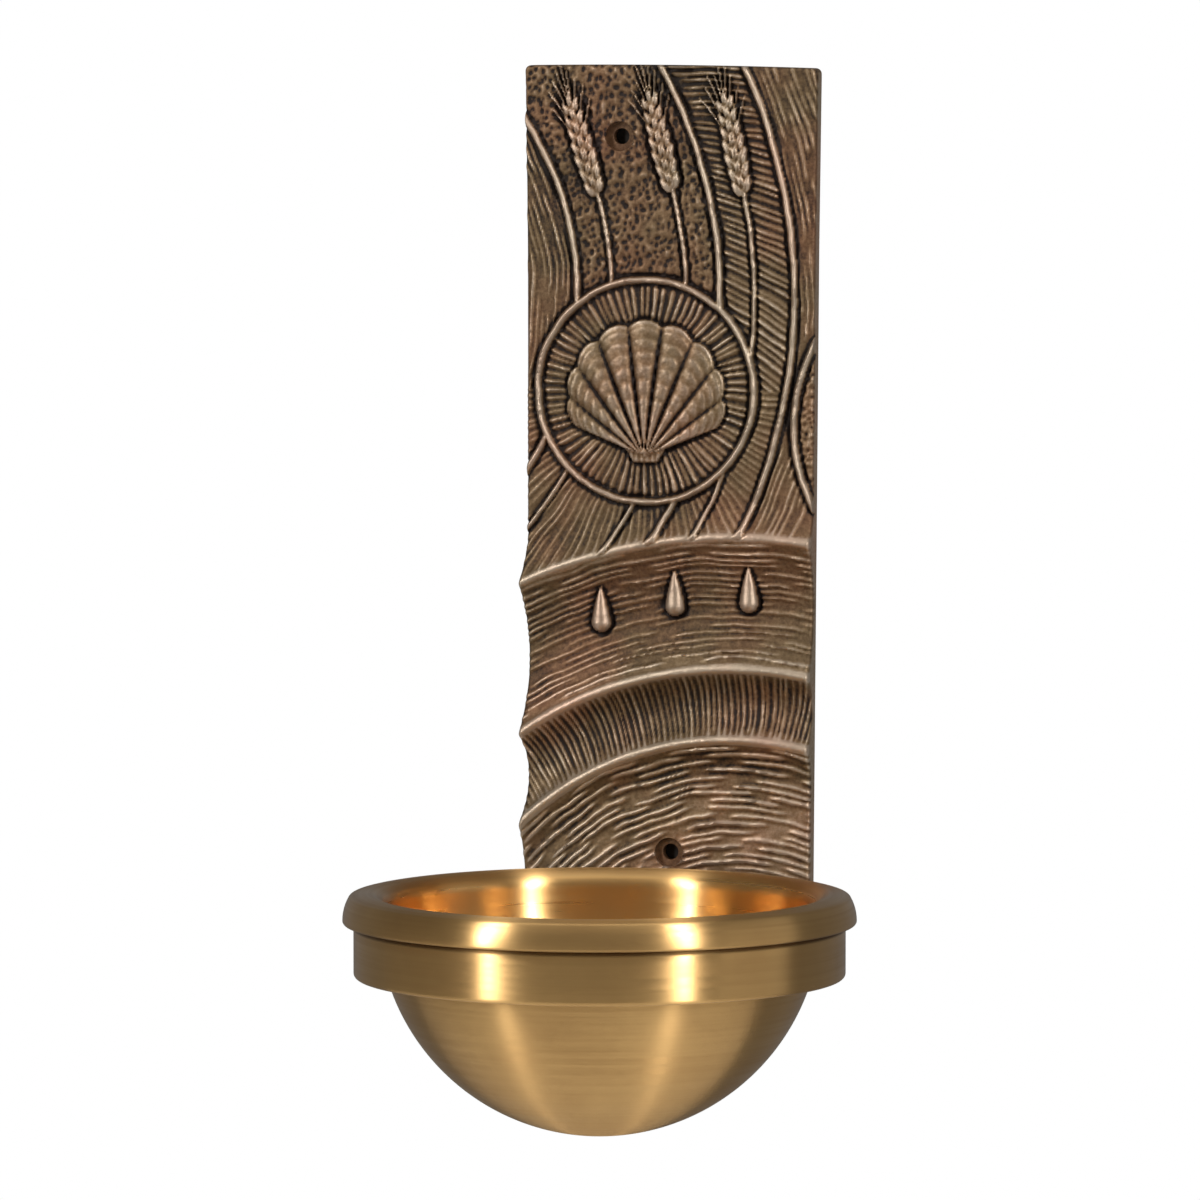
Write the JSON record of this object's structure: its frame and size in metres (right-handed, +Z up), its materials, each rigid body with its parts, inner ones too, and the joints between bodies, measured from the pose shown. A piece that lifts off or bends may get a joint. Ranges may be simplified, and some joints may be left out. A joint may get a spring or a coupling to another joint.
{
  "type": "holy water stoup",
  "caption": "Wall-hung holy water stoup: a tall bronze backplate in relief with a ring at its foot that carries a lift-out turned bowl.",
  "frame": {"origin": "on the axis of the lower wall-screw hole, in the plane of the wall", "axes": "+Z up, -Y out of the wall towards the user, +X to the right across the backplate as the user sees it"},
  "size_m": [0.1706, 0.1836, 0.3535],
  "materials": {
    "patinated_bronze": "cast relief, dark brown patina, ridges rubbed back to metal",
    "turned_bronze": "lathe-turned and brushed to a satin gold bronze",
    "saddle_bronze": "machined bronze, darkened",
    "screw_brass": "plain turned brass",
    "washer_bronze": "spring bronze"
  },
  "bodies": {
    "wall_unit": {"backplate": "patinated_bronze", "support_ring": "turned_bronze", "ring_saddle": "saddle_bronze", "ring_screw_left": "screw_brass", "ring_screw_right": "screw_brass", "lock_washer_left": "washer_bronze", "lock_washer_right": "washer_bronze"},
    "bowl": {"bowl": "turned_bronze"}
  },
  "joints": [
    {"name": "bowl_lift", "type": "slide", "parent": "wall_unit", "child": "bowl", "axis": [0, 0, 1], "range_m": [0, 0.085]}
  ]
}
